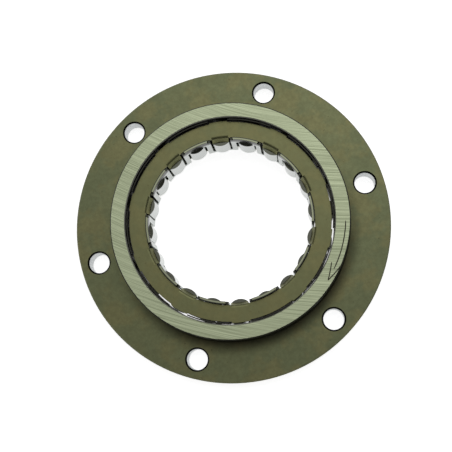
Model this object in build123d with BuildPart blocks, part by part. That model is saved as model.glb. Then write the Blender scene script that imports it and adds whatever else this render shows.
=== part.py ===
from build123d import *
from math import asin, cos, degrees, radians, sin, sqrt
import os

# Flanged sprag clutch: an outer race with a bolting flange, carrying a double
# cage of twenty sprags that grip a hub running in the bore.
# Millimetres. Z is the clutch axis, the flange's rear face lies on z = 0, the
# plain collar points to +Z and the first bolt hole is on +X.

# ---- driving dimensions -------------------------------------------------

hub_d = 53.34               # track of the hub that runs in the clutch
sprag_space = 8.33          # hub track to bore

# outer race, each diameter a wall or a land outside the last
collar_wall = 5.25          # bore to collar
bolt_land = 7.25            # collar to bolt circle
rim_land = 6.5              # bolt circle to rim
flange_t = 6.5
race_width = 15.0           # rear face to collar face
bolt_hole_d = 7.0           # clearance for M6
bolt_count = 6
bolt_chamfer = 0.55
bore_chamfer = 0.4
rim_chamfer = 0.4           # flange rim and collar rim
collar_root_r = 0.6

# sprags, their section in proportion to the sprag space
sprag_count = 20            # even, because the cage zones alternate
sprag_length = 8.6
free_rise = 0.2             # unloaded tips stand this far inside the track
tip_cam_r = 0.516 * sprag_space     # cam that grips the hub
race_cam_r = 0.516 * sprag_space    # cam that grips the race
cam_offset = 0.12 * sprag_space     # sideways step between the cam centres
head_w = 0.696 * sprag_space        # both heads of a sprag
head_land = 0.156 * sprag_space     # straight flank beside each cam
head_corner_r = 0.072 * sprag_space
waist_w = 0.516 * sprag_space
race_gap = 0.15             # race cam to bore

# cage pack
set_back = 1.7              # sprag middle behind the middle of the race
cage_phase = -9.5           # angle of the first sprag zone
end_play = 0.05             # sprag end to window end

# outer cage: a windowed band with T-shaped drag bars on its front rim
outer_band_t = 0.45
outer_front_rim_h = 1.9     # closed rims past the windows
outer_rear_rim_h = 0.4
outer_window_gap = 0.3      # window to sprag, each side
drag_bar_gap = 0.18         # drag bar to bore
drag_bar_t = 0.4
drag_bar_h = 1.5
drag_bar_standoff = 0.37    # drag bar outside the band
drag_stem_half = 3.5        # degrees
drag_stem_h = 0.4
drag_bar_end_gap = 0.6      # degrees, drag bar to ring lobe

# side rings
ring_t = 0.6
ring_lobe_gap = 0.6         # lobe to bore
ring_lobe_half = 5.2        # degrees
ring_inset = 0.05           # recess inside the outer band
ring_tooth_step = 0.55      # tooth outside the inner band's bore
ring_tooth_side = 0.65      # tooth to the cage bar beside it
ring_scallop_gap = 0.25     # scallop outside the inner band
ring_corner_r = 0.25

# front ring's teeth, bent down into the open windows of the inner cage
key_root = 1.3              # flat part starts this far outside the scallops
key_bend = 0.15             # bend outside the scallops, before rounding
key_end = 0.2               # end outside the inner band's bore
key_end_gap = 0.25          # sprag end to key
key_bend_r = 1.0

# inner cage: a meander band, its webs alternating between front and rear; the
# front webs carry tabs that stand past the bars
inner_band_gap = 0.78       # hub track to band
inner_band_t = 0.9
inner_window_gap = 0.54     # window to sprag, each side
inner_window_corner_r = 0.7
inner_end_corner_r = 2.0    # bar beside an open window
front_web_h = 2.6
tab_h = 1.15
tab_w = 8.4
tab_corner_r = 1.0
tab_root_r = 0.4
rear_web_h = 1.3
web_gap = 0.1               # sprag end to web

# ribbon spring, with one tongue behind each sprag
ribbon_t = 0.15
ribbon_window_gap = 0.35    # window to waist, clockwise side
ribbon_swing_gap = 0.95     # the other side, where the flank swings out
tongue_h = 4.0
tongue_reach = 1.3          # from the ribbon toward the axis
tongue_slant = 1.5

# ---- derived places -----------------------------------------------------

bore_d = hub_d + 2 * sprag_space
collar_d = bore_d + 2 * collar_wall
bolt_pcd = collar_d + 2 * bolt_land
flange_d = bolt_pcd + 2 * rim_land
bore_r = bore_d / 2
hub_r = hub_d / 2
pitch = 360 / sprag_count
sprag_mid_z = race_width / 2 - set_back
window_length = sprag_length + 2 * end_play
seat_z1 = sprag_mid_z + window_length / 2 + outer_front_rim_h   # front side ring
seat_z0 = sprag_mid_z - window_length / 2 - outer_rear_rim_h    # rear side ring
inner_window_half = sprag_length / 2 + web_gap
bar_z1 = sprag_mid_z + inner_window_half + front_web_h
cage_z0 = sprag_mid_z - inner_window_half - rear_web_h
cage_z1 = bar_z1 + tab_h
key_z0 = sprag_mid_z + sprag_length / 2 + key_end_gap

tip_r = hub_r - free_rise
tip_centre = tip_r + tip_cam_r
pivot_r = bore_r - race_gap - race_cam_r        # centre of the race cam
pivot_x = sqrt(pivot_r**2 - cam_offset**2)
lean = degrees(asin(cam_offset / pivot_r))      # race heads sit clockwise

drag_bar_od = bore_r - drag_bar_gap
drag_bar_r = drag_bar_od - drag_bar_t
outer_band_od = drag_bar_r - drag_bar_standoff
outer_band_r = outer_band_od - outer_band_t
inner_band_r = hub_r + inner_band_gap
inner_band_od = inner_band_r + inner_band_t
inner_window_w = head_w + 2 * inner_window_gap

ring_lobe_r = bore_r - ring_lobe_gap
ring_recess_r = outer_band_od - ring_inset
ring_tooth_r = inner_band_r + ring_tooth_step
ring_tooth_half = degrees(asin((inner_window_w / 2 - ring_tooth_side) / ring_tooth_r))
ring_scallop_r = inner_band_od + ring_scallop_gap


def zone_angle(k):
    """Angle of sprag zone k."""
    return cage_phase + pitch * k


def radial_plane(angle, z):
    """Plane that faces outwards at an angle; its y runs along the clutch axis."""
    across = (-sin(radians(angle)), cos(radians(angle)), 0)
    outward = (cos(radians(angle)), sin(radians(angle)), 0)
    return Plane(origin=(0, 0, z), x_dir=across, z_dir=outward)


def section_plane(angle, z):
    """Plane across the axis; its x runs outwards at an angle, y anticlockwise."""
    return Plane.XY.offset(z).rotated((0, 0, angle))


def sector(r_in, r_out, middle, half):
    """Face of an annular sector, half being half of its angle."""
    with BuildSketch() as face:
        with BuildLine():
            outer = CenterArc((0, 0), r_out, middle - half, 2 * half)
            inner = CenterArc((0, 0), r_in, middle - half, 2 * half)
            Line(outer @ 0, inner @ 0)
            Line(outer @ 1, inner @ 1)
        make_face()
    return face.sketch


# ---- outer race ---------------------------------------------------------

def rims(part, diameter):
    """Circular edges of a part that have this diameter, lowest first."""
    circles = part.edges().filter_by(GeomType.CIRCLE)
    return circles.filter_by(lambda e: abs(2 * e.radius - diameter) < 1e-4).sort_by(Axis.Z)


with BuildPart() as outer_race:
    with BuildSketch():
        Circle(flange_d / 2)
    extrude(amount=flange_t)
    with BuildSketch(Plane.XY.offset(flange_t)):
        Circle(collar_d / 2)
    extrude(amount=race_width - flange_t)
    with BuildSketch():
        Circle(bore_r)
        with PolarLocations(bolt_pcd / 2, bolt_count):
            Circle(bolt_hole_d / 2)
    extrude(amount=race_width, mode=Mode.SUBTRACT)

    fillet(rims(outer_race, collar_d)[0], radius=collar_root_r)
    chamfer(rims(outer_race, bolt_hole_d), length=bolt_chamfer)
    chamfer(rims(outer_race, bore_d), length=bore_chamfer)
    chamfer(rims(outer_race, flange_d), length=rim_chamfer)
    chamfer(rims(outer_race, collar_d)[-1], length=rim_chamfer)

outer_race.part.label = "outer_race"


# ---- side rings ---------------------------------------------------------

def ring_face(z, first_scallop):
    """Flat ring with lobes outside and teeth inside, between the scallops."""
    with BuildSketch(Plane.XY.offset(z)) as face:
        Circle(ring_recess_r)
        Circle(ring_scallop_r, mode=Mode.SUBTRACT)
        for k in range(0, sprag_count, 2):
            middle = first_scallop + pitch * (k + 1)
            add(sector(ring_scallop_r, ring_lobe_r, middle, ring_lobe_half))
            add(sector(ring_tooth_r, ring_recess_r, middle, ring_tooth_half))
        edges_of_ring = face.vertices().group_by(lambda v: round(abs(v.center()), 3))
        fillet(edges_of_ring[0] + edges_of_ring[-1], radius=ring_corner_r)
    return face.sketch


def key_section(angle):
    """Section of a bent tooth: flat, then slanting down and inward at even thickness."""
    bend = (ring_scallop_r + key_bend, seat_z1 + ring_t)
    end = (inner_band_r + key_end, key_z0)
    run, drop = bend[0] - end[0], bend[1] - end[1]
    back = ring_t * sqrt(run**2 + drop**2) / drop       # thickness along the level end
    root_r = ring_scallop_r + key_root
    with BuildSketch(Plane.XZ.rotated((0, 0, angle))) as section:
        with BuildLine():
            Polyline(
                (root_r, seat_z1 + ring_t),
                bend,
                end,
                (end[0] + back, key_z0),
                (end[0] + back + run * (seat_z1 - key_z0) / drop, seat_z1),
                (root_r, seat_z1),
                close=True,
            )
        make_face()
        bends = section.vertices().sort_by(Axis.Y)
        fillet(bends[2:4].sort_by(Axis.X)[0], radius=key_bend_r - ring_t)
        fillet(section.vertices().sort_by(Axis.Y)[-2:].sort_by(Axis.X)[0], radius=key_bend_r)
    return section.sketch


with BuildPart() as front_side_ring:
    add(ring_face(seat_z1, zone_angle(0)))
    extrude(amount=ring_t)
    for k in range(1, sprag_count, 2):
        with BuildSketch(Plane.XY.offset(seat_z1)):
            add(sector(ring_tooth_r - ring_corner_r, ring_scallop_r + key_root,
                       zone_angle(k), ring_tooth_half))
        extrude(amount=ring_t, mode=Mode.SUBTRACT)
        add(key_section(zone_angle(k) - ring_tooth_half))
        revolve(axis=Axis.Z, revolution_arc=2 * ring_tooth_half)

front_side_ring.part.label = "front_side_ring"

# the rear ring is one pitch further round, and its teeth are flat
with BuildPart() as rear_side_ring:
    add(ring_face(seat_z0, zone_angle(1)))
    extrude(amount=-ring_t)

rear_side_ring.part.label = "rear_side_ring"


# ---- outer cage ---------------------------------------------------------

# a sprag's race head where it crosses the band
race_head_half = sqrt(race_cam_r**2 - (outer_band_r - pivot_r) ** 2)
outer_window_w = 2 * (race_head_half + outer_window_gap)
drag_bar_half = pitch - ring_lobe_half - drag_bar_end_gap

with BuildPart() as outer_cage:
    with BuildSketch(Plane.XY.offset(seat_z0)):
        Circle(outer_band_od)
        Circle(outer_band_r, mode=Mode.SUBTRACT)
    extrude(amount=seat_z1 - seat_z0)
    for k in range(sprag_count):
        with BuildSketch(radial_plane(zone_angle(k) - lean, sprag_mid_z)):
            Rectangle(outer_window_w, window_length)
        extrude(amount=bore_r, mode=Mode.SUBTRACT)

    for k in range(0, sprag_count, 2):
        with BuildSketch(Plane.XY.offset(seat_z1)):
            add(sector(outer_band_r, drag_bar_od, zone_angle(k), drag_stem_half))
        extrude(amount=-drag_stem_h)
        with BuildSketch(Plane.XY.offset(seat_z1 - drag_stem_h)):
            add(sector(drag_bar_r, drag_bar_od, zone_angle(k), drag_stem_half))
        extrude(amount=cage_z1 - seat_z1 + drag_stem_h)
        with BuildSketch(Plane.XY.offset(cage_z1)):
            add(sector(drag_bar_r, drag_bar_od, zone_angle(k), drag_bar_half))
        extrude(amount=-drag_bar_h)

outer_cage.part.label = "outer_cage"


# ---- inner cage ---------------------------------------------------------

tab_pitch = 2 * (inner_band_r + inner_band_t / 2) * sin(radians(pitch))
notch_w = tab_pitch - tab_w


def open_window(width, shut, mouth, shut_r, mouth_r):
    """Window from its shut end to a mouth in the band's edge, both as heights."""
    side = 1 if mouth > shut else -1
    with BuildSketch() as face:
        with Locations((0, (shut + mouth) / 2)):
            Rectangle(width, abs(mouth - shut))
        with Locations((0, mouth + side * mouth_r)):
            Rectangle(width + 3 * mouth_r, 2 * mouth_r)
        across = face.vertices().group_by(Axis.Y)[::side]
        fillet(across[0], radius=shut_r)
        fillet(across[1].sort_by(Axis.X)[1:3], radius=mouth_r)
    return face.sketch


with BuildPart() as inner_cage:
    with BuildSketch(Plane.XY.offset(cage_z0)):
        Circle(inner_band_od)
        Circle(inner_band_r, mode=Mode.SUBTRACT)
    extrude(amount=cage_z1 - cage_z0)
    for k in range(0, sprag_count, 2):
        with BuildSketch(radial_plane(zone_angle(k), 0)):
            add(open_window(inner_window_w, sprag_mid_z + inner_window_half, cage_z0,
                            inner_window_corner_r, inner_end_corner_r))
        extrude(amount=bore_r, mode=Mode.SUBTRACT)
    for k in range(1, sprag_count, 2):
        with BuildSketch(radial_plane(zone_angle(k), 0)):
            add(open_window(inner_window_w, sprag_mid_z - inner_window_half, bar_z1,
                            inner_window_corner_r, tab_root_r))
            add(open_window(notch_w, bar_z1, cage_z1, tab_root_r, tab_corner_r))
        extrude(amount=bore_r, mode=Mode.SUBTRACT)

inner_cage.part.label = "inner_cage"


# ---- sprags -------------------------------------------------------------

head_half = head_w / 2
tip_end = tip_centre - sqrt(tip_cam_r**2 - head_half**2)        # cam meets flank
race_end = pivot_x + sqrt(race_cam_r**2 - head_half**2)


def sprag_face(angle, z):
    """Section of a sprag: tip cam, waisted flanks, race cam set clockwise."""
    with BuildSketch(section_plane(angle, z)) as face:
        with BuildLine():
            for side in (head_half, -head_half):
                tip_land = (tip_end + head_land, side)
                race_land = (race_end - head_land, side - cam_offset)
                waist = (
                    (tip_end + race_end) / 2,
                    side / head_half * waist_w / 2 - cam_offset / 2,
                )
                Line((tip_end, side), tip_land)
                ThreePointArc(tip_land, waist, race_land)
                Line(race_land, (race_end, side - cam_offset))
            ThreePointArc((tip_end, head_half), (tip_r, 0), (tip_end, -head_half))
            ThreePointArc(
                (race_end, head_half - cam_offset),
                (pivot_x + race_cam_r, -cam_offset),
                (race_end, -head_half - cam_offset),
            )
        make_face()
        across = face.vertices().group_by(Axis.X)
        fillet(across[0] + across[-1], radius=head_corner_r)
    return face.sketch


sprags = []
for k in range(sprag_count):
    with BuildPart() as sprag:
        add(sprag_face(zone_angle(k), sprag_mid_z - sprag_length / 2))
        extrude(amount=sprag_length)
    sprag.part.label = f"sprag_{k + 1:02d}"
    sprags.append(sprag.part)


# ---- ribbon spring ------------------------------------------------------

ribbon_window_w = waist_w + ribbon_window_gap + ribbon_swing_gap
tongue_root = waist_w / 2 + ribbon_swing_gap - cam_offset / 2

with BuildPart() as ribbon_spring:
    with BuildSketch(Plane.XY.offset(seat_z0)):
        Circle(pivot_r + ribbon_t / 2)
        Circle(pivot_r - ribbon_t / 2, mode=Mode.SUBTRACT)
    extrude(amount=seat_z1 - seat_z0)
    for k in range(sprag_count):
        with BuildSketch(radial_plane(zone_angle(k), sprag_mid_z)):
            with Locations((tongue_root - ribbon_window_w / 2, 0)):
                Rectangle(ribbon_window_w, window_length)
        extrude(amount=bore_r, mode=Mode.SUBTRACT)
    for k in range(sprag_count):
        with BuildSketch(section_plane(zone_angle(k), sprag_mid_z)):
            with BuildLine():
                Polyline(
                    (pivot_r, tongue_root),
                    (pivot_r, tongue_root + 2 * ribbon_t),
                    (pivot_r - tongue_reach, tongue_root + tongue_slant + ribbon_t),
                    (pivot_r - tongue_reach, tongue_root + tongue_slant),
                    close=True,
                )
            make_face()
        extrude(amount=tongue_h / 2, both=True)

ribbon_spring.part.label = "ribbon_spring"


# ---- files --------------------------------------------------------------

os.makedirs("parts", exist_ok=True)
cage_parts = [front_side_ring, rear_side_ring, outer_cage, inner_cage, ribbon_spring]
for piece in [outer_race.part] + [cage.part for cage in cage_parts] + sprags:
    export_step(piece, f"parts/{piece.label}.step")
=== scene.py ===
"""Looks for a flanged sprag clutch: an outer race with a bolting flange and a
ground collar, two flat side rings, two thin cages, twenty polished sprags and
the ribbon spring between them. Metres, +Z along the clutch axis."""
from math import pi, radians

import bpy
import numpy as np
from mathutils import Matrix, Vector


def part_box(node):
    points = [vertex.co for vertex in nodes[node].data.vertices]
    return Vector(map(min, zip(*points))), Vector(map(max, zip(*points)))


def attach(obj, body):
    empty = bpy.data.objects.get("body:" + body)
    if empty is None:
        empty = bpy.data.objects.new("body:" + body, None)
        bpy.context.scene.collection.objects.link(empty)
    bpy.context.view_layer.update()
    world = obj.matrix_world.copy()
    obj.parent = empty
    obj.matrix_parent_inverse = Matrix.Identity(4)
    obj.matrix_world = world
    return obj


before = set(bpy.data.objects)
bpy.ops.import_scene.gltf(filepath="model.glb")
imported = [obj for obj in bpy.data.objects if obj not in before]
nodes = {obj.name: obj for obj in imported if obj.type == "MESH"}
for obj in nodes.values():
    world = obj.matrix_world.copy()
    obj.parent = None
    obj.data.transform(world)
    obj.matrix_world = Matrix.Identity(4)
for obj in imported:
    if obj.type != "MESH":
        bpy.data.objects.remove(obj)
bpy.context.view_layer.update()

MM = 0.001
COLLAR_FACE_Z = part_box("outer_race")[1].z
SPRAG_END_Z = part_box("sprag_01")[1].z
CAGE_TOP_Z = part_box("inner_cage")[1].z
BOLT_CIRCLE_R = 47.5 * MM


# ---- camera, floor and light --------------------------------------------

def set_camera():
    """Looks down on the collar face from 0.29 m, leaning a little from the side of -Y."""
    lens = bpy.data.cameras.new("camera")
    lens.sensor_width = 36.0
    lens.lens = 36.0 * 854.7 / 452
    lens.clip_start, lens.clip_end = 0.01, 10.0
    camera = bpy.data.objects.new("camera", lens)
    bpy.context.scene.collection.objects.link(camera)
    turn = Matrix((
        (0.956327, 0.288978, 0.043932),
        (-0.275842, 0.941955, -0.191396),
        (-0.096691, 0.170919, 0.980529),
    ))
    camera.matrix_world = Matrix.Translation((0.0108855, -0.056424, 0.2930549)) @ turn.to_4x4()
    bpy.context.scene.camera = camera


def toward_object(place):
    """Turn of a lamp that stands at a place and shines on the origin: its -Z points there."""
    z = np.array(place, float)
    z /= np.linalg.norm(z)
    x = np.cross((0, 0, 1), z)
    x /= np.linalg.norm(x)
    return Matrix(np.column_stack((x, np.cross(z, x), z)).tolist())


def soft_box(name, place, size, power):
    """Square softbox lamp, size in metres, aimed at the clutch."""
    light = bpy.data.lights.new(name, "AREA")
    light.shape = "SQUARE"
    light.size, light.energy = size, power
    lamp = bpy.data.objects.new(name, light)
    bpy.context.scene.collection.objects.link(lamp)
    lamp.matrix_world = Matrix.Translation(place) @ toward_object(place).to_4x4()


def tree_of(owner):
    """Emptied node tree of a material or world."""
    owner.use_nodes = True
    tree = owner.node_tree
    tree.nodes.clear()
    return tree


def math_node(tree, operation, *values):
    """Math node with its inputs joined or set; returns its output."""
    node = tree.nodes.new("ShaderNodeMath")
    node.operation = operation
    for value, socket in zip(values, node.inputs):
        if hasattr(value, "is_output"):
            tree.links.new(value, socket)
        else:
            socket.default_value = value
    return node.outputs[0]


PANEL_DIRECTION = (0.155, 0.476, 0.866)  # middle of the light panel over the table
PANEL_LIGHT, ROOM_LIGHT = 1.82, 0.22


def set_world():
    """Broad light panel overhead in a dim room; the camera sees the room as white. The
    light falls smoothly with the angle from the panel's middle, 8 to 50 degrees."""
    world = bpy.data.worlds.new("light_panel")
    bpy.context.scene.world = world
    tree = tree_of(world)
    path = tree.nodes.new("ShaderNodeLightPath")
    direction = tree.nodes.new("ShaderNodeTexCoord").outputs["Generated"]
    closeness = tree.nodes.new("ShaderNodeVectorMath")
    closeness.operation = "DOT_PRODUCT"
    tree.links.new(direction, closeness.inputs[0])
    closeness.inputs[1].default_value = Vector(PANEL_DIRECTION).normalized()
    fall = tree.nodes.new("ShaderNodeMapRange")
    fall.interpolation_type = "SMOOTHSTEP"
    tree.links.new(math_node(tree, "ARCCOSINE", closeness.outputs["Value"]), fall.inputs["Value"])
    for socket, value in (("From Min", radians(8)), ("From Max", radians(50)),
                          ("To Min", PANEL_LIGHT), ("To Max", ROOM_LIGHT)):
        fall.inputs[socket].default_value = value
    panel = tree.nodes.new("ShaderNodeBackground")
    tree.links.new(fall.outputs["Result"], panel.inputs["Strength"])
    white = tree.nodes.new("ShaderNodeBackground")
    white.inputs["Color"].default_value = (1, 1, 1, 1)
    mix = tree.nodes.new("ShaderNodeMixShader")
    out = tree.nodes.new("ShaderNodeOutputWorld")
    tree.links.new(path.outputs["Is Camera Ray"], mix.inputs[0])
    tree.links.new(panel.outputs[0], mix.inputs[1])
    tree.links.new(white.outputs[0], mix.inputs[2])
    tree.links.new(mix.outputs[0], out.inputs[0])


SEEN_TABLE, MIRRORED_TABLE = 0.85, 0.75     # the table's own white to the camera and in the steel


def lay_floor():
    """White table under the flange. Part of the white that is seen is the table's
    own, so that only a faint shadow shows on it."""
    half = 1.5
    mesh = bpy.data.meshes.new("floor")
    mesh.from_pydata([(-half, -half, 0), (half, -half, 0), (half, half, 0), (-half, half, 0)],
                     [], [(0, 1, 2, 3)])
    floor = bpy.data.objects.new("floor", mesh)
    bpy.context.scene.collection.objects.link(floor)
    white = bpy.data.materials.new("white_table")
    tree = tree_of(white)
    path = tree.nodes.new("ShaderNodeLightPath")
    paper = tree.nodes.new("ShaderNodeBsdfDiffuse")
    paper.inputs["Color"].default_value = (0.7, 0.7, 0.7, 1)
    glow = tree.nodes.new("ShaderNodeEmission")
    mirrored = math_node(tree, "MAXIMUM", path.outputs["Is Glossy Ray"],
                         path.outputs["Is Transmission Ray"])
    strength = math_node(tree, "ADD",
                         math_node(tree, "MULTIPLY", path.outputs["Is Camera Ray"], SEEN_TABLE),
                         math_node(tree, "MULTIPLY", mirrored, MIRRORED_TABLE))
    tree.links.new(strength, glow.inputs["Strength"])
    both = tree.nodes.new("ShaderNodeAddShader")
    out = tree.nodes.new("ShaderNodeOutputMaterial")
    tree.links.new(paper.outputs[0], both.inputs[0])
    tree.links.new(glow.outputs[0], both.inputs[1])
    tree.links.new(both.outputs[0], out.inputs["Surface"])
    mesh.materials.append(white)


# ---- steel finishes -----------------------------------------------------

class Finish:
    """A steel finish under construction: short ways to add and join its nodes."""

    def __init__(self, name, metallic=1.0, roughness=0.4):
        self.material = bpy.data.materials.new(name)
        self.tree = tree_of(self.material)
        self.shader = self.tree.nodes.new("ShaderNodeBsdfPrincipled")
        self.shader.inputs["Metallic"].default_value = metallic
        self.shader.inputs["Roughness"].default_value = roughness
        out = self.tree.nodes.new("ShaderNodeOutputMaterial")
        self.tree.links.new(self.shader.outputs[0], out.inputs["Surface"])
        self.place = self.tree.nodes.new("ShaderNodeTexCoord").outputs["Object"]

    def put(self, value, socket):
        """Joins an output to an input, or sets the input to a number or colour."""
        if hasattr(value, "is_output"):
            self.tree.links.new(value, socket)
        else:
            socket.default_value = value

    def math(self, operation, *values):
        return math_node(self.tree, operation, *values)

    def times(self, first, second):
        return self.math("MULTIPLY", first, second)

    def rest_of(self, share):
        """What a share leaves of the whole."""
        return self.math("SUBTRACT", 1.0, share)

    def axes(self):
        """x, y and z of the clutch's own frame, in metres."""
        split = self.tree.nodes.new("ShaderNodeSeparateXYZ")
        self.put(self.place, split.inputs[0])
        return split.outputs[0], split.outputs[1], split.outputs[2]

    def length(self, x, y):
        return self.math("SQRT", self.math("ADD", self.times(x, x), self.times(y, y)))

    def vector(self, x, y, z):
        join = self.tree.nodes.new("ShaderNodeCombineXYZ")
        for value, socket in zip((x, y, z), join.inputs):
            self.put(value, socket)
        return join.outputs[0]

    def noise(self, scale, detail=3.0, rough=0.55, where=None):
        """Cloud value from 0 to 1; scale is in clouds per metre."""
        node = self.tree.nodes.new("ShaderNodeTexNoise")
        node.inputs["Scale"].default_value = scale
        node.inputs["Detail"].default_value = detail
        node.inputs["Roughness"].default_value = rough
        self.put(self.place if where is None else where, node.inputs["Vector"])
        return node.outputs["Fac"]

    def step(self, value, low, high):
        """0 below low, 1 above high, a smooth rise between them."""
        node = self.tree.nodes.new("ShaderNodeMapRange")
        node.interpolation_type = "SMOOTHSTEP"
        self.put(value, node.inputs["Value"])
        node.inputs["From Min"].default_value = low
        node.inputs["From Max"].default_value = high
        return node.outputs["Result"]

    def spread(self, value, low, high):
        """Maps 0 to 1 onto low to high."""
        node = self.tree.nodes.new("ShaderNodeMapRange")
        self.put(value, node.inputs["Value"])
        node.inputs["To Min"].default_value = low
        node.inputs["To Max"].default_value = high
        return node.outputs["Result"]

    def blend(self, share, first, second):
        """Colour that goes from first to second with the share."""
        node = self.tree.nodes.new("ShaderNodeMix")
        node.data_type = "RGBA"
        for value, socket in zip((share, first, second),
                                 (node.inputs[0], node.inputs[6], node.inputs[7])):
            if isinstance(value, tuple):
                value = (*value, 1.0)
            self.put(value, socket)
        return node.outputs[2]

    def relief(self, height, depth, strength=1.0):
        bump = self.tree.nodes.new("ShaderNodeBump")
        bump.inputs["Distance"].default_value = depth
        bump.inputs["Strength"].default_value = strength
        self.put(height, bump.inputs["Height"])
        self.tree.links.new(bump.outputs["Normal"], self.shader.inputs["Normal"])

    def colour(self, value):
        self.put((*value, 1.0) if isinstance(value, tuple) else value,
                 self.shader.inputs["Base Color"])

    def roughness(self, value):
        self.put(value, self.shader.inputs["Roughness"])


OLIVE = (0.158, 0.170, 0.088)
OLIVE_BLUE = (0.146, 0.162, 0.086)
OLIVE_BROWN = (0.186, 0.180, 0.086)
STAIN = (0.070, 0.068, 0.036)


def shifted(finish, step):
    """The place moved by a step along X, for a second cloud unlike the first."""
    x, y, z = finish.axes()
    return finish.vector(finish.math("ADD", x, step), y, z)


def heat_tint(finish):
    """Clouded olive oxide of the hardened steel: three tints mixed by clouds of
    16 and 8 mm, dulled by clouds of 2 mm, with small dark specks."""
    wide = finish.step(finish.noise(62, 4.0, 0.6), 0.42, 0.58)
    middle = finish.step(finish.noise(120, 4.0, 0.6, shifted(finish, 0.31)), 0.44, 0.62)
    fine = finish.noise(620, 3.0, 0.7, shifted(finish, 0.77))
    tint = finish.blend(wide, OLIVE, OLIVE_BLUE)
    tint = finish.blend(finish.times(middle, 0.8), tint, OLIVE_BROWN)
    tint = finish.blend(finish.step(fine, 0.36, 0.66), finish.blend(0.22, tint, STAIN), tint)
    speck = finish.step(finish.noise(900, 2.0), 0.68, 0.76)
    return finish.blend(finish.times(speck, 0.6), tint, STAIN)


GRIND_CENTRE = (0.090, 0.155)


def grinding_lines(finish):
    """Long shallow arcs left by the cup wheel: a fine noise over the distance from
    a far centre, slowly changing along the arc."""
    x, y, z = finish.axes()
    across = finish.math("SUBTRACT", x, GRIND_CENTRE[0])
    up = finish.math("SUBTRACT", y, GRIND_CENTRE[1])
    reach = finish.length(across, up)
    along = finish.math("ARCTAN2", up, across)
    fine = finish.noise(1.0, 3.0, 0.8, finish.vector(
        finish.times(reach, 4400.0), finish.times(along, 4.0), 0.0))
    broad = finish.noise(1.0, 2.0, 0.65, finish.vector(
        finish.times(reach, 2100.0), finish.times(along, 3.0), 7.0))
    return finish.math("ADD", finish.times(fine, 0.75), finish.times(broad, 0.25))


GROUND_DARK = (0.30, 0.338, 0.212)
GROUND_PALE = (0.60, 0.66, 0.445)
EDGE_BRIGHT = (0.50, 0.51, 0.44)
# dark brown for the collar's foot: part real stain, part painted shadow
FOOT_STAIN_AND_SHADOW = (0.030, 0.027, 0.016)
STAIN_AND_SHADOW_SIDE = radians(-83)       # side of the dark stain and painted shadow at the collar's foot


def race_shares(f, x, y, z):
    """Share from 0 to 1 of each zone of the race, picked by height and by distance
    from the clutch axis or from a bolt hole's axis."""
    radius = f.length(x, y)
    turn = f.math("PINGPONG", f.math("ARCTAN2", y, x), pi / 6)
    from_hole = f.length(f.math("SUBTRACT", f.times(radius, f.math("COSINE", turn)), BOLT_CIRCLE_R),
                         f.times(radius, f.math("SINE", turn)))
    face = f.step(z, COLLAR_FACE_Z - 0.05 * MM, COLLAR_FACE_Z - 0.01 * MM)
    edge = f.step(z, COLLAR_FACE_Z - 0.38 * MM, COLLAR_FACE_Z - 0.28 * MM)
    # painted shade: the bore below the chamfer is coloured near black
    bore = f.rest_of(f.step(radius, 35.45 * MM, 35.50 * MM))
    # painted shade: the collar's outer wall is coloured near black
    collar_wall = f.times(f.step(z, 6.52 * MM, 7.2 * MM), f.step(radius, 39.6 * MM, 39.7 * MM))
    toward = f.math("COSINE", f.math("SUBTRACT", f.math("ARCTAN2", y, x), STAIN_AND_SHADOW_SIDE))
    # painted shadow and stain: darkens the flange near the collar's foot on one side only
    foot = f.times(f.rest_of(f.step(radius, 40.4 * MM, 45.5 * MM)), f.step(toward, -0.1, 0.9))
    return {"face": face, "edge": edge, "foot": foot,
            "bore": f.times(bore, f.rest_of(edge)),
            "collar_wall": f.times(collar_wall, f.rest_of(face)),
            # painted shade: the chamfer ring round each bolt hole is coloured black
            "painted_shade_hole_rim": f.rest_of(f.step(from_hole, 4.02 * MM, 4.10 * MM)),
            "hole_wall": f.rest_of(f.step(from_hole, 3.52 * MM, 3.60 * MM))}


def race_steel():
    """Outer race: heat-tinted flange with a dark stain and painted shadow at one side of the
    collar's foot, ground collar face with a bright edge at the bore, collar wall painted
    dark as painted shade, bored bolt holes with chamfers painted dark as painted shade,
    and the bore painted dark as painted shade."""
    f = Finish("race_steel", roughness=0.42)
    share = race_shares(f, *f.axes())
    lines = grinding_lines(f)
    # stain and painted shadow at the collar's foot
    colour = f.blend(f.times(share["foot"], 0.8), heat_tint(f), FOOT_STAIN_AND_SHADOW)
    colour = f.blend(share["edge"], colour, EDGE_BRIGHT)
    colour = f.blend(share["face"], colour, f.blend(f.step(lines, 0.38, 0.62), GROUND_DARK, GROUND_PALE))
    # bolt-hole chamfers painted black: painted shade
    colour = f.blend(share["painted_shade_hole_rim"], colour, (0.02, 0.02, 0.018))
    colour = f.blend(share["hole_wall"], colour, (0.62, 0.64, 0.64))
    # bore painted near black: painted shade of the deep gap
    colour = f.blend(share["bore"], colour, (0.03, 0.03, 0.026))
    # collar wall painted near black: painted shade
    f.colour(f.blend(share["collar_wall"], colour, (0.030, 0.031, 0.022)))
    face, clouded = share["face"], f.rest_of(share["face"])
    f.roughness(f.math("ADD", f.times(f.spread(f.noise(240, 3.0), 0.36, 0.50), clouded),
                       f.times(f.spread(lines, 0.42, 0.58), face)))
    f.relief(f.math("ADD", f.times(lines, face), f.times(f.noise(1500, 3.0), clouded)),
             0.02 * MM, 0.6)
    return f.material


def ring_steel():
    """Side rings: the same clouded oxide, a little warmer."""
    f = Finish("ring_steel", roughness=0.42)
    f.colour(f.blend(0.45, heat_tint(f), (0.172, 0.166, 0.074)))
    f.roughness(f.spread(f.noise(300, 3.0), 0.38, 0.48))
    f.relief(f.noise(1600, 3.0), 0.015 * MM, 0.5)
    return f.material


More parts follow.
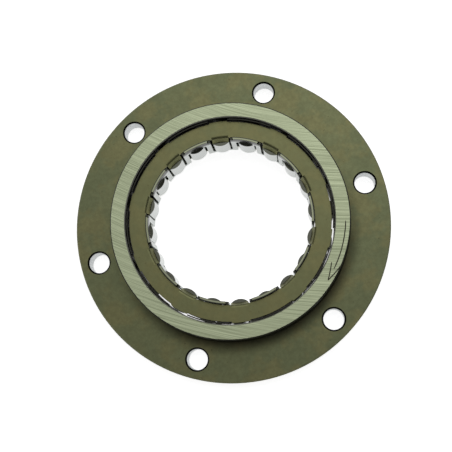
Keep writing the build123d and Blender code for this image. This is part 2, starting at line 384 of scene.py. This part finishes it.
def cage_steel():
    """Inner cage: bright rolled strip, painted dark past the sprags' ends as painted shade,
    with tab tops painted a mid olive as painted shade.
    """
    f = Finish("cage_steel", roughness=0.24)
    x, y, z = f.axes()
    colour = f.blend(f.noise(420, 3.0), (0.46, 0.485, 0.465), (0.58, 0.605, 0.585))
    # painted shade: the cage is coloured near black above the sprags' ends
    painted_shade_past_sprags = f.step(z, SPRAG_END_Z + 0.3 * MM, SPRAG_END_Z + 1.8 * MM)
    colour = f.blend(painted_shade_past_sprags, colour, (0.045, 0.047, 0.038))
    radius = f.length(x, y)
    # painted shade: the tab tops are coloured a mid olive instead of bright steel
    painted_shade_tab_tops = f.times(f.step(radius, 27.50 * MM, 27.65 * MM),
                   f.rest_of(f.step(radius, 28.00 * MM, 28.15 * MM)))
    painted_shade_tab_tops = f.times(painted_shade_tab_tops, f.step(z, CAGE_TOP_Z - 0.08 * MM, CAGE_TOP_Z - 0.02 * MM))
    f.colour(f.blend(painted_shade_tab_tops, colour, (0.25, 0.265, 0.18)))
    f.roughness(f.spread(f.noise(700, 3.0), 0.20, 0.32))
    f.relief(f.noise(1800, 2.0), 0.01 * MM, 0.4)
    return f.material


def painted_shade_cage_steel():
    """Outer cage with its drag bars, painted near black as painted shade of the gap."""
    f = Finish("painted_shade_cage_steel", roughness=0.45)
    # painted shade: near-black colour standing in for the shaded gap
    f.colour(f.blend(f.noise(420, 3.0), (0.028, 0.028, 0.024), (0.050, 0.050, 0.043)))
    f.roughness(f.spread(f.noise(700, 3.0), 0.40, 0.52))
    f.relief(f.noise(1800, 2.0), 0.01 * MM, 0.4)
    return f.material


def sprag_steel():
    """Polished bearing steel with fine lapping lines round the cams; the end faces are
    painted dark as painted shade.
    """
    f = Finish("sprag_steel", roughness=0.16)
    x, y, z = f.axes()
    laps = f.noise(1.0, 3.0, 0.6, f.vector(
        f.times(x, 260.0), f.times(y, 260.0), f.times(z, 5200.0)))
    # painted shade: the sprags' end faces are coloured dark
    end = f.step(z, SPRAG_END_Z - 0.10 * MM, SPRAG_END_Z - 0.03 * MM)
    polished = f.blend(laps, (0.48, 0.50, 0.485), (0.60, 0.625, 0.605))
    f.colour(f.blend(end, polished, (0.085, 0.088, 0.070)))
    f.roughness(f.spread(laps, 0.13, 0.24))
    f.relief(laps, 0.004 * MM, 0.4)
    return f.material


def spring_steel():
    """Blued strip of the ribbon spring."""
    f = Finish("spring_steel", roughness=0.30)
    f.colour(f.blend(f.noise(300, 3.0), (0.22, 0.20, 0.17), (0.34, 0.31, 0.26)))
    f.roughness(f.spread(f.noise(700, 3.0), 0.25, 0.36))
    return f.material


def etched_line():
    """Brown-black of the etched arrow."""
    f = Finish("etched_line", metallic=0.3, roughness=0.6)
    f.colour(f.blend(f.noise(2600, 3.0), (0.020, 0.018, 0.010), (0.060, 0.055, 0.030)))
    return f.material


# ---- direction arrow ----------------------------------------------------

ARROW_TOP = COLLAR_FACE_Z + 0.008 * MM
ARROW_FOOT = COLLAR_FACE_Z - 0.02 * MM


def ribbon_points(radii, degrees, width, count):
    """Edges of a flat stroke that runs from (radii[0], degrees[0]) to (radii[1],
    degrees[1]) in polar steps: centre p(t), sides p(t) +- n(t) width / 2, where n
    is the normal of the path. The width eases to two thirds at both ends."""
    t = np.linspace(0, 1, count)
    r = (radii[0] + (radii[1] - radii[0]) * t) * MM
    a = np.radians(degrees[0] + (degrees[1] - degrees[0]) * t)
    centre = np.stack((r * np.cos(a), r * np.sin(a)), 1)
    along = np.gradient(centre, axis=0)
    along /= np.linalg.norm(along, axis=1)[:, None]
    normal = np.stack((-along[:, 1], along[:, 0]), 1)
    ease = 2 / 3 + np.minimum(np.minimum(t, 1 - t) * 12, 1) / 3
    side = normal * (ease * width * MM / 2)[:, None]
    return centre + side, centre - side


def stroke(name, radii, degrees, width, count):
    """Closed strip: the stroke's two edges at the foot and at the top height,
    joined round as a four-sided tube with capped ends."""
    left, right = ribbon_points(radii, degrees, width, count)
    rows = [np.column_stack((edge, np.full(count, level))) for edge, level in
            ((left, ARROW_FOOT), (right, ARROW_FOOT), (right, ARROW_TOP), (left, ARROW_TOP))]
    points = np.concatenate(rows)
    i = np.arange(count - 1)
    quads = [np.stack((a * count + i, a * count + i + 1, b * count + i + 1, b * count + i), 1)
             for a, b in ((0, 1), (1, 2), (2, 3), (3, 0))]
    caps = [[0, count, 2 * count, 3 * count],
            [4 * count - 1, 3 * count - 1, 2 * count - 1, count - 1]]
    mesh = bpy.data.meshes.new(name)
    mesh.from_pydata(points.tolist(), [], np.concatenate(quads).tolist() + caps)
    mesh.update()
    piece = bpy.data.objects.new(name, mesh)
    bpy.context.scene.collection.objects.link(piece)
    return piece


def mark_direction():
    """Etched arrow on the collar face: one curved shaft and two straight barbs."""
    line = etched_line()
    for name, radii, degrees, width, count in (
            ("arrow_shaft", (38.5, 38.4), (-18.1, -42.8), 0.36, 60),
            ("arrow_outer_barb", (40.0, 38.5), (-39.9, -49.0), 0.36, 16),
            ("arrow_inner_barb", (36.8, 38.5), (-40.2, -49.0), 0.36, 16)):
        piece = stroke(name, radii, degrees, width, count)
        piece.data.materials.append(line)
        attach(piece, "race")


# ---- scene --------------------------------------------------------------

scene = bpy.context.scene
scene.view_settings.view_transform = "Standard"
set_camera()
set_world()
lay_floor()
soft_box("key", (0.31, 0.29, 0.55), 0.40, 0.3)

finishes = {"outer_race": race_steel(), "side_ring": ring_steel(), "inner_cage": cage_steel(),
            "outer_cage": painted_shade_cage_steel(), "sprag": sprag_steel(), "ribbon_spring": spring_steel()}
for name, node in nodes.items():
    kind = next(k for k in finishes if k in name)
    node.data.materials.clear()
    node.data.materials.append(finishes[kind])

mark_direction()
